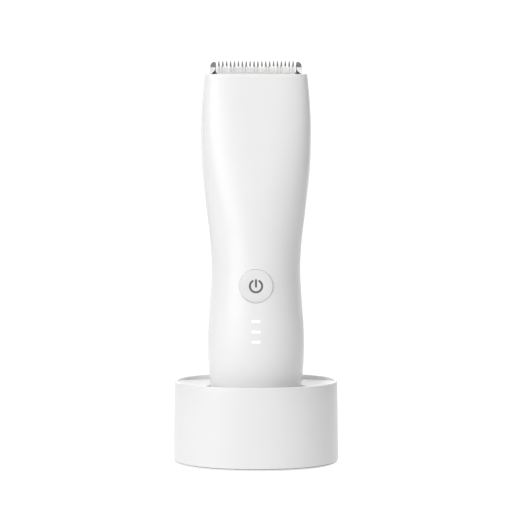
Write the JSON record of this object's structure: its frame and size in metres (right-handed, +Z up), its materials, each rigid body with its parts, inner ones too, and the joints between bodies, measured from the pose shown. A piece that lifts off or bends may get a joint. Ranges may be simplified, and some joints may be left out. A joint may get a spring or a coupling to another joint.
{
  "type": "body groomer with charging dock",
  "caption": "Waisted cordless body groomer with a steel comb blade and ceramic cutter, standing in a low rounded charging dock.",
  "frame": {"origin": "centre of the dock's underside, on the floor", "axes": "+Z up along the handle, -Y out of the front face with the button, +X to the viewer's right when the front is seen"},
  "size_m": [0.066, 0.0564, 0.16],
  "materials": {
    "white_plastic": "satin white moulded plastic",
    "button_plastic": "fine matte",
    "icon_grey": "matte inlay",
    "light_pipe": "lit translucent bar",
    "grey_rubber": "soft",
    "dark_rubber": "matte",
    "black_plastic": "matte",
    "inner_plastic": "matte",
    "blade_steel": "ground",
    "plated_steel": "zinc plated",
    "bright_steel": "satin",
    "gold_contact": "gold plated",
    "ceramic": "ground white ceramic",
    "circuit_board": "solder mask",
    "battery_wrap": "shrink wrap"
  },
  "bodies": {
    "dock": {"dock_shell": "white_plastic", "dock_tray": "white_plastic", "dock_base_plate": "white_plastic", "dock_foot_pad": "dark_rubber", "dock_ballast": "plated_steel", "dock_board": "circuit_board", "charging_socket": "bright_steel", "pin_block": "black_plastic", "base_screw_left": "plated_steel", "base_screw_right": "plated_steel"},
    "charge_pin_left": {"charge_pin_left": "gold_contact"},
    "charge_pin_right": {"charge_pin_right": "gold_contact"},
    "handle": {"front_shell": "white_plastic", "rear_shell": "white_plastic", "shell_gasket": "grey_rubber", "contact_plug": "black_plastic", "charge_contact_left": "gold_contact", "charge_contact_right": "gold_contact", "button_seal": "grey_rubber", "tact_switch": "bright_steel", "light_pipe_1": "light_pipe", "light_pipe_2": "light_pipe", "light_pipe_3": "light_pipe", "led_module": "inner_plastic", "main_board": "circuit_board", "chassis": "inner_plastic", "chassis_screw_1": "plated_steel", "chassis_screw_2": "plated_steel", "battery_cell": "battery_wrap", "motor": "bright_steel", "motor_mount": "inner_plastic", "head_floor": "inner_plastic"},
    "power_button": {"power_button": "button_plastic", "power_icon_ring": "icon_grey", "power_icon_bar": "icon_grey", "switch_plunger": "black_plastic"},
    "rotor": {"motor_shaft": "plated_steel", "crank_disc": "black_plastic"},
    "blade_head": {"blade_carrier": "black_plastic", "fixed_comb": "blade_steel", "cutter_spring": "blade_steel", "blade_screw_left": "plated_steel", "blade_screw_right": "plated_steel"},
    "cutter": {"ceramic_cutter": "ceramic", "drive_block": "inner_plastic"}
  },
  "joints": [
    {"name": "handle_lift", "type": "slide", "parent": "dock", "child": "handle", "axis": [0, 0, 1], "range_m": [0, 0.03]},
    {"name": "charge_pin_left_press", "type": "slide", "parent": "dock", "child": "charge_pin_left", "axis": [0, 0, -1], "range_m": [0, 0.0008], "stiffness_N_per_m": 150, "springref_m": -0.0003},
    {"name": "charge_pin_right_press", "type": "slide", "parent": "dock", "child": "charge_pin_right", "axis": [0, 0, -1], "range_m": [0, 0.0008], "stiffness_N_per_m": 150, "springref_m": -0.0003},
    {"name": "power_button_press", "type": "slide", "parent": "handle", "child": "power_button", "axis": [0, 1, 0], "range_m": [0, 0.0005], "stiffness_N_per_m": 800, "springref_m": -0.0003},
    {"name": "rotor_spin", "type": "hinge", "parent": "handle", "child": "rotor", "pos_m": [0, 0.0019, 0.131], "axis": [0, 0, 1], "continuous": true},
    {"name": "blade_head_pull", "type": "slide", "parent": "handle", "child": "blade_head", "axis": [0, 0, 1], "range_m": [0, 0.016]},
    {"name": "cutter_stroke", "type": "slide", "parent": "blade_head", "child": "cutter", "axis": [1, 0, 0], "range_m": [-0.0005, 0.0005]}
  ]
}
